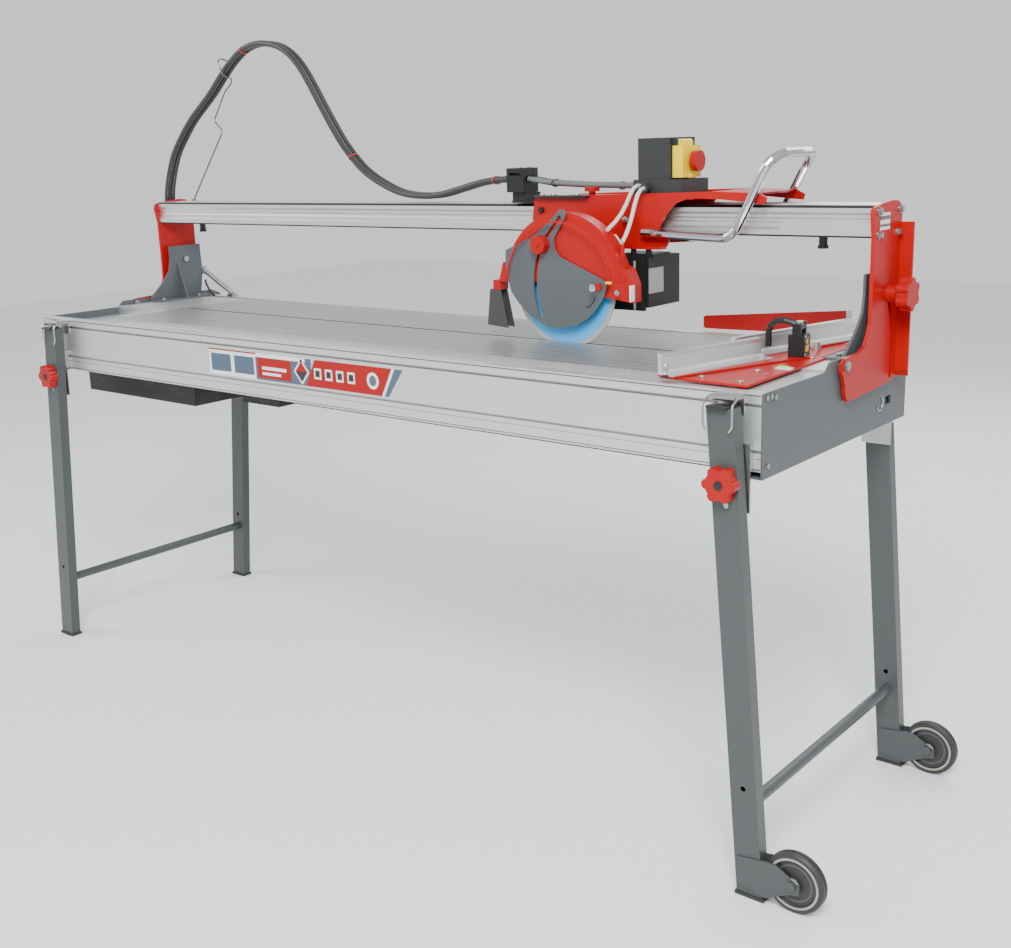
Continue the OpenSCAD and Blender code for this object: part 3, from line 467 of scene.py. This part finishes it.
# ---- Water tray and pump ----
# A black moulded plastic tray lies under the table. The pump, with a ribbed foot, stands in its sump,
# and a thin rubber lead comes up at the left end.
tray_finish = plastic("tray plastic", (0.018, 0.019, 0.020), 0.42)
tray_finish.tint((tray_finish.noise(9, (1, 1, 4)) > 0.6) * 0.35, (0.05, 0.05, 0.05))
dress(tray_finish, "water_tray")
pump_finish = plastic("pump plastic", (0.022, 0.023, 0.028), 0.34)
dress(pump_finish, "pump")
dress(rubber("pump lead rubber"), "pump_lead")
pump_lo, pump_hi = box("pump")
bm = bmesh.new()
for k in range(6):
    side = pump_lo.x + 0.012 + k * (pump_hi.x - pump_lo.x - 0.024) / 5
    block(bm, (side - 0.002, pump_lo.y - 0.0015, pump_lo.z + 0.006),
          (side + 0.002, pump_hi.y + 0.0015, pump_lo.z + 0.034), 0.0006)
piece("pump_foot_ribs", bm, pump_finish, "frame")


# ---- Legs ----
# Square steel tube in grey powder coat, with black plastic caps on the front tops and rubber feet.
# Two solid wheels turn in forks on the right pair.
foot_rubber = rubber("foot rubber", (0.02, 0.02, 0.02), 0.6)
dress(foot_rubber, "feet_left", "feet_right", "bumpers")
cap_plastic = plastic("cap plastic", (0.02, 0.02, 0.021), 0.36)
for side in ("left", "right"):
    bracket_lo, bracket_hi = box("latch_" + side)
    x = (bracket_lo.x + bracket_hi.x) / 2
    leg_lo, leg_hi = box("legs_" + side)
    bm = bmesh.new()
    block(bm, (x - 0.019, leg_lo.y, leg_hi.z - 0.001),
          (x + 0.019, leg_lo.y + 0.030, leg_hi.z + 0.004), 0.0022, 3)
    piece(f"leg_cap_{side}", bm, cap_plastic, "legs_" + side)
for name in ("wheel_front", "wheel_rear"):
    lo, hi = box(name)
    hub = (lo + hi) / 2
    finish = rubber("tyre " + name.split("_")[1], (0.02, 0.02, 0.021), 0.55)
    away = finish.distance(hub.x, hub.z)
    finish.tint((away < 0.0465) * (away > 0.0425), (0.34, 0.31, 0.25))
    finish.tint((away < 0.034) * (away > 0.031), (0.07, 0.07, 0.07))
    dress(finish, name)
    bm = bmesh.new()
    for y, step in ((lo.y, -1), (hi.y, 1)):
        rod(bm, (hub.x, y - step * 0.002, hub.z), (hub.x, y + step * 0.003, hub.z), 0.013, 32, 0.0012)
        rod(bm, (hub.x, y + step * 0.003, hub.z), (hub.x, y + step * 0.0055, hub.z), 0.0065, 6, 0.0006)
    piece(name + "_hub", bm, steel, name)


# ---- Knobs ----
# Moulded red plastic knobs clamp the legs, the bridge's tilt, the depth stop and the lower guard. The
# two on the legs have a round black centre.
knob_red = plastic("knob plastic", (0.37, 0.002, 0.002), 0.3)
dress(knob_red, "knob_leg_left", "knob_leg_right", "knob_tilt_left", "knob_tilt_right", "depth_knob",
      "guard_knob")
for name in ("knob_leg_left", "knob_leg_right"):
    lo, hi = box(name)
    centre = (lo + hi) / 2
    bm = bmesh.new()
    rod(bm, (centre.x, lo.y + 0.002, centre.z), (centre.x, lo.y - 0.0016, centre.z), 0.0080, 40, 0.0009)
    piece(name + "_centre", bm, cap_plastic, name)
chrome = Finish("chrome", (0.62, 0.63, 0.64), 0.10, 1.0)
chrome.rough(chrome.noise(45) * 0.10 - 0.03)


# ---- Columns and bridge ----
# Two folded red steel columns carry the aluminium rail, bolted at both ends. An arc slot in each lets
# the bridge tilt. The rail's rims and groove line are darkened with painted shade.
red_paint = paint("red paint", (0.40, 0.002, 0.002), 0.34, 0.05)
dress(red_paint, "columns", "head_cover", "blade_guard")
rail_lo, rail_hi = box("rail")
rail_finish = aluminium("rail aluminium", color=(0.68, 0.69, 0.68), roughness=0.34)
height, depth = rail_finish.axis("Z"), rail_finish.axis("Y")
# Painted shade: the rail's side faces are darkened along their chamfered rims and along the groove line.
outside = (depth < rail_lo.y + 0.0048) + (depth > rail_hi.y - 0.0048)
rims = (height > rail_hi.z - 0.0052) + (height < rail_lo.z + 0.0034)
rail_finish.tint(outside * rims, (0.06, 0.062, 0.065))
rail_finish.tint(outside * (height > rail_lo.z + 0.0265) * (height < rail_lo.z + 0.0335), (0.30, 0.31, 0.32))
dress(rail_finish, "rail")
label = plastic("column label", (0.72, 0.73, 0.72), 0.45)
tall = label.axis("Z")
foot = 1.112
label.tint((tall > foot + 0.018) * (tall < foot + 0.025) + (tall < foot + 0.0105) * (tall > foot + 0.0055),
           (0.10, 0.14, 0.16))
bm = bmesh.new()
face = rail_hi.x + 0.007
block(bm, (face - 0.0002, rail_lo.y + 0.018, foot), (face + 0.0004, rail_lo.y + 0.060, foot + 0.030))
piece("column_label", bm, label, "bridge")


# ---- Hose junction and wire stay ----
# The hoses end in a black moulded junction on the left column, with a red ring around each hose.
# A bent steel wire stands on the rail's left end and hooks round the loop.
black_part = plastic("black plastic", (0.013, 0.014, 0.0135), 0.36)
dress(black_part, "hose_junction", "hose_clamp", "carriage", "switch_box", "motor", "stop_lever")
dress(rubber("flap rubber", (0.035, 0.037, 0.036), 0.5), "splash_flap")
ring_x, ring_y = hose_line[0].x, hose_line[0].y
bm = bmesh.new()
for shift in (0, 0.018):
    rod(bm, (ring_x, ring_y + shift, 1.1125), (ring_x, ring_y + shift, 1.1165), 0.0088, 36, 0.0008)
piece("hose_rings", bm, tie_red, "bridge")


# ---- Carriage and rollers ----
# Black steel plates run along the rail on four plain plastic rollers, each on a zinc bolt, and carry
# the head's hinge. A black clamp with two screws grips the hoses.
roller_finish = plastic("roller plastic", (0.30, 0.31, 0.31), 0.32)
dress(roller_finish, "roller_1", "roller_2", "roller_3", "roller_4")
carriage_lo, carriage_hi = box("carriage")
bm = bmesh.new()
for number in (1, 2, 3, 4):
    lo, hi = box(f"roller_{number}")
    centre = (lo + hi) / 2
    face = carriage_lo.y if number < 3 else carriage_hi.y
    out = -1 if number < 3 else 1
    rod(bm, (centre.x, face - out * 0.002, centre.z),
        (centre.x, face + out * 0.0045, centre.z), 0.0075, 6, 0.0007)
piece("carriage_bolts", bm, steel, "carriage")
clamp_lo, clamp_hi = box("hose_clamp")
bm = bmesh.new()
for y in (clamp_lo.y + 0.008, clamp_hi.y - 0.008):
    rod(bm, ((clamp_lo.x + clamp_hi.x) / 2, y, clamp_hi.z - 0.001),
        ((clamp_lo.x + clamp_hi.x) / 2, y, clamp_hi.z + 0.0035), 0.0048, 24, 0.0008)
piece("hose_clamp_screws", bm, steel, "carriage")


# ---- Head ----
# A folded red steel channel holds the black motor, the guards, the chromed tube handle and the switch.
# Two rubber hoses lie along its top, tied together.
head_lo = box("head_cover")[0]
hose_grey = rubber("grey hose", (0.10, 0.11, 0.11), 0.3)
for number, (x, height) in enumerate(((0.266, 1.1988), (0.440, 1.1925))):
    ring = [(x, 0.180 + 0.0165 * math.cos(t), height + 0.0074 * math.sin(t))
            for t in (math.radians(15 * k) for k in range(25))]
    tube(f"top_hose_tie_{number}", ring, 0.0013, cap_plastic, "head", 3)
bm = bmesh.new()
bar_z = 1.1715
block(bm, (head_lo.x + 0.012, head_lo.y + 0.012, bar_z),
      (head_lo.x + 0.150, head_lo.y + 0.030, bar_z + 0.005), 0.001)
piece("cover_top_bar", bm, cap_plastic, "head")
bm = bmesh.new()
for x in (head_lo.x + 0.030, head_lo.x + 0.060, head_lo.x + 0.120):
    rod(bm, (x, head_lo.y + 0.021, bar_z + 0.0045), (x, head_lo.y + 0.021, bar_z + 0.008), 0.0058, 6, 0.0006)
piece("cover_top_bolts", bm, steel, "head")
for number, (start_y, end_y, drop) in enumerate(((0.158, 0.150, 0.0), (0.176, 0.166, 0.0015))):
    route = [(238, start_y, 1208), (262, start_y, 1205 - drop), (300, (3 * start_y + end_y) / 4, 1200 - drop),
             (350, (start_y + end_y) / 2, 1197 - drop), (400, (start_y + 3 * end_y) / 4, 1195 - drop),
             (450, end_y, 1194 - drop), (500, end_y, 1193 - drop), (540, end_y, 1192 - drop)]
    path = curve_through([Vector((x / 1000, y, z / 1000)) + middle for x, y, z in route], 4)
    hose = tube(f"top_hose_{number}", path, 0.006, (hose_grey, black_hose)[number])
    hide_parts("top_hoses")
    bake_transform(hose)
clear_tube = Finish("clear tube", (0.72, 0.75, 0.75), 0.16, Alpha=0.72)
clear_tube.rough(clear_tube.noise(80) * 0.1)
dress(clear_tube, "water_tubes")
handle_chrome = Finish("handle chrome", (0.50, 0.51, 0.53), 0.10, 1.0)
handle_chrome.rough(handle_chrome.noise(30) * 0.12 - 0.04)
dress(handle_chrome, "handle")
motor_lo, motor_hi = box("motor")
motor_label = Finish("motor label", (0.42, 0.43, 0.44), 0.4, 0.6)
rows = motor_label.axis("Z").wave(0.0068) > 0.86
columns = motor_label.axis("Y").wave(0.0240) > 0.95
motor_label.tint((rows + columns) * 0.35, (0.12, 0.12, 0.125))
motor_label.rough(motor_label.noise(70) * 0.15)
motor_face = 0.612 + middle.x
bm = bmesh.new()
block(bm, (motor_face - 0.0002, motor_lo.y + 0.046, 0.984), (motor_face + 0.0006, motor_lo.y + 0.100, 1.034))
piece("motor_label", bm, motor_label, "head")
bm = bmesh.new()
for k in range(9):
    x = 0.508 + middle.x + k * 0.0115
    block(bm, (x, motor_hi.y - 0.021, 0.990), (x + 0.0045, motor_hi.y - 0.016, 1.044), 0.0009)
piece("motor_vents", bm, black_part, "head")
bm = bmesh.new()
block(bm, (motor_face - 0.0064, motor_lo.y + 0.001, motor_lo.z + 0.010),
      (motor_face - 0.0056, motor_lo.y + 0.0085, motor_lo.z + 0.106), 0.0003)
piece("motor_flange_edge", bm, steel, "head")


# ---- Guards and blade ----
# A hollow red upper guard hides the top of the blade. The grey lower guard swings on one bolt, and the
# steel blade is painted blue inside its bare cutting rim.
blade_lo, blade_hi = box("blade")
hub = (blade_lo + blade_hi) / 2
blade_finish = Finish("blade", (0.05, 0.38, 0.78), 0.34)
away = blade_finish.distance(hub.x, hub.z)
blade_finish.tint(away > 0.116, (0.34, 0.35, 0.35))
blade_finish.tint(away < 0.030, (0.40, 0.41, 0.41))
blade_finish.rough(blade_finish.noise(60) * 0.2 - 0.05)
dress(blade_finish, "blade")
guard_lo, guard_hi = box("blade_guard")
dome_x, dome_z = hub.x + 0.006, 1.0
bm = bmesh.new()
count = 41
around = [(dome_x + r * math.cos(t), dome_z + r * math.sin(t)) for r in (0.132, 0.1285)
          for t in (math.radians(6 + 4.2 * k) for k in range(count))]
front = [bm.verts.new((x, guard_lo.y + 0.0068, z)) for x, z in around]
back = [bm.verts.new((x, guard_lo.y + 0.0092, z)) for x, z in around]
for k in range(count - 1):
    bm.faces.new((front[k], front[k + 1], front[count + k + 1], front[count + k]))
    bm.faces.new((back[k], back[count + k], back[count + k + 1], back[k + 1]))
    bm.faces.new((front[k], back[k], back[k + 1], front[k + 1]))
    bm.faces.new((front[count + k], front[count + k + 1], back[count + k + 1], back[count + k]))
bm.faces.new((front[0], front[count], back[count], back[0]))
bm.faces.new((front[count - 1], back[count - 1], back[2 * count - 1], front[2 * count - 1]))
piece("guard_bulge_rim", bm, red_paint, "head")
yellow = plastic("yellow plastic", (0.84, 0.62, 0.0), 0.32)
dress(yellow, "switch_flap")
bm = bmesh.new()
block(bm, (guard_hi.x - 0.050, guard_lo.y + 0.0062, 1.012),
      (guard_hi.x - 0.036, guard_lo.y + 0.0092, 1.017), 0.0006)
piece("guard_mark", bm, yellow, "head")
bm = bmesh.new()
bolt_x = guard_hi.x - 0.022
rod(bm, (bolt_x, guard_lo.y + 0.009, 0.996), (bolt_x, guard_lo.y + 0.0045, 0.996), 0.006, 6, 0.0006)
piece("guard_bolt", bm, steel, "head")
pin_x, pin_z = 0.551 + middle.x, 1.004
bm = bmesh.new()
rod(bm, (pin_x, guard_lo.y + 0.0014, pin_z), (pin_x, guard_lo.y - 0.0032, pin_z), 0.0085, 6, 0.0009)
piece("lower_guard_bolt", bm, chrome, "head")
plate_lo, plate_hi = box("guard_plate")
# The slit's opening is drawn as a thin black line of painted shade.
slit = [(pin_x - 0.010, plate_lo.y, pin_z - 0.023), (pin_x - 0.016, plate_lo.y, pin_z - 0.032),
        (pin_x - 0.026, plate_lo.y, pin_z - 0.0405), (pin_x - 0.033, plate_lo.y, pin_z - 0.0412)]
tube("guard_plate_slit", curve_through(slit, 4), 0.0011, cap_plastic, "guard_plate", 2)
bm = bmesh.new()
block(bm, (guard_hi.x - 0.0006, guard_lo.y + 0.016, 0.978),
      (guard_hi.x + 0.0026, guard_lo.y + 0.032, 1.010), 0.0010)
piece("guard_edge_strip", bm, sticker_white, "head")


# ---- Switch ----
# A dark grey plastic housing stands on the head. It has a hinged yellow flap and a red stop button.
switch_grey = plastic("switch plastic", (0.028, 0.030, 0.031), 0.38)
dress(switch_grey, "switch_box")
dress(knob_red, "stop_button")
flap_lo, flap_hi = box("switch_flap")
bm = bmesh.new()
block(bm, (flap_hi.x - 0.003, flap_lo.y + 0.022, flap_lo.z - 0.0015),
      (flap_hi.x + 0.003, flap_hi.y - 0.022, flap_lo.z + 0.006), 0.0012)
piece("switch_flap_tab", bm, yellow, "switch_flap")


# ---- Angle stop ----
# A red steel base, screwed down, carries a red swing plate with two aluminium fences and a red arm.
# A black clamp with a lever holds the angle, and a level vial lies beside it.
dress(red_paint, "stop_base")
stop_lo = box("angle_stop")[0]
fence = aluminium("fence aluminium", "Y", (0.70, 0.71, 0.71), 0.33)
fence_x, fence_lean, arm_y = 0.8235, 0.2126, 0.270
swing_plate = fence.axis("Z") < stop_lo.z + 0.0055
arm_side = fence.axis("X") - fence.axis("Y") * fence_lean < fence_x
painted = swing_plate + arm_side * (fence.axis("Y") > arm_y)
fence.tint(painted, (0.36, 0.002, 0.002)).metal(painted)
dress(fence, "angle_stop")
dress(black_part, "stop_clamp")
base_top = box("stop_base")[1].z
bm = bmesh.new()
for x, y in ((909, -231), (987, -240), (962, -136), (983, 30), (913, 190)):
    spot = Vector((x, y, 0)) / 1000 + middle
    rod(bm, (spot.x, spot.y, base_top - 0.0005), (spot.x, spot.y, base_top + 0.0022), 0.0068, 30, 0.0009)
    rod(bm, (spot.x, spot.y, base_top + 0.0018), (spot.x, spot.y, base_top + 0.0030), 0.0032, 6, 0.0003)
piece("stop_base_screws", bm, steel, "frame")
vial_white = plastic("vial body", (0.66, 0.67, 0.64), 0.35)
vial_green = Finish("vial", (0.42, 0.60, 0.10), 0.12)
vial_green.rough(vial_green.noise(50) * 0.1)
vial = Vector((0.996, -0.098, 0)) + middle
bm = bmesh.new()
block(bm, (vial.x - 0.017, vial.y - 0.008, base_top - 0.0004),
      (vial.x + 0.013, vial.y + 0.008, base_top + 0.0034), 0.0014)
piece("level_vial_body", bm, vial_white, "frame")
bm = bmesh.new()
rod(bm, (vial.x - 0.012, vial.y, base_top + 0.0032),
    (vial.x + 0.008, vial.y, base_top + 0.0032), 0.0030, 24, 0.0008)
piece("level_vial", bm, vial_green, "frame")
clamp_lo, clamp_hi = box("stop_clamp")
centre = (clamp_lo + clamp_hi) / 2
bm = bmesh.new()
rod(bm, (centre.x, centre.y, clamp_hi.z - 0.001), (centre.x, centre.y, clamp_hi.z + 0.003), 0.008, 6, 0.0008)
piece("stop_clamp_bolt", bm, steel, "frame")
pivot = Vector((0.962, 0.040, 0.885)) + middle
turned = Matrix.Translation(pivot) @ Matrix.Rotation(math.radians(12), 4, "Z")
bm = bmesh.new()
block(bm, (0.0098, -0.024, 0.016), (0.0106, -0.004, 0.027))
facing = (Matrix.Translation((0.0102, -0.014, 0.0335)) @ Matrix.Rotation(math.radians(90), 4, "Y")
          @ Matrix.Rotation(math.radians(180), 4, "Z"))
bmesh.ops.create_cone(bm, cap_ends=True, segments=3, radius1=0.0085, radius2=0.0085, depth=0.0008,
                      matrix=facing)
bmesh.ops.transform(bm, matrix=turned, verts=bm.verts)
piece("stop_clamp_patch", bm, yellow, "frame")
bm = bmesh.new()
for y in (-0.031, 0.005):
    for z in (0.011, 0.045):
        rod(bm, (0.0098, y, z), (0.0118, y, z), 0.0022, 16, 0.0004)
bmesh.ops.transform(bm, matrix=turned, verts=bm.verts)
piece("stop_clamp_screws", bm, steel, "frame")
bm = bmesh.new()
feet = bmesh.new()
for x, y in ((0.8145, -0.2490), (0.8300, -0.0330)):
    rod(bm, (x, y, 0.8925), (x, y, 0.9100), 0.0036, 24, 0.0008)
    rod(bm, (x, y, 0.9080), (x, y, 0.9125), 0.0056, 6, 0.0006)
    rod(feet, (x, y, 0.8892), (x, y, 0.8940), 0.0052, 24, 0.0008)
piece("fence_screws", bm, chrome, "angle_stop")
piece("fence_feet", feet, cap_plastic, "angle_stop")


# ---- Floor and light ----
# A pale floor, a big soft light over the front, a softer one from the left, and an even sky.
floor_finish = Finish("floor", (0.88, 0.88, 0.88), 0.8)
floor_finish.tint(floor_finish.noise(2) * 0.05, (0.8, 0.8, 0.8))
mesh = bpy.data.meshes.new("floor")
mesh.from_pydata([(-9, -9, 0), (9, -9, 0), (9, 9, 0), (-9, 9, 0)], [], [(0, 1, 2, 3)])
mesh.materials.append(floor_finish.material)
floor = bpy.data.objects.new("floor", mesh)
bpy.context.scene.collection.objects.link(floor)
world = bpy.data.worlds.new("sky")
world.use_nodes = True
world.node_tree.nodes["Background"].inputs["Color"].default_value = (0.97, 0.98, 1.0, 1)
world.node_tree.nodes["Background"].inputs["Strength"].default_value = 0.95
bpy.context.scene.world = world
for name, place, power, size in (("key", (2.2, -2.6, 3.4), 230, 1.5), ("left", (-3.4, -2.2, 2.8), 60, 2.0),
                                 ("back", (0.4, 3.2, 3.0), 70, 2.6)):
    lamp = bpy.data.lights.new(name, "AREA")
    lamp.energy = power
    lamp.size = size
    holder = bpy.data.objects.new(name, lamp)
    bpy.context.scene.collection.objects.link(holder)
    aim = (Vector((0, 0, 0.8)) - Vector(place)).to_track_quat("-Z", "Y")
    holder.matrix_world = Matrix.Translation(place) @ aim.to_matrix().to_4x4()
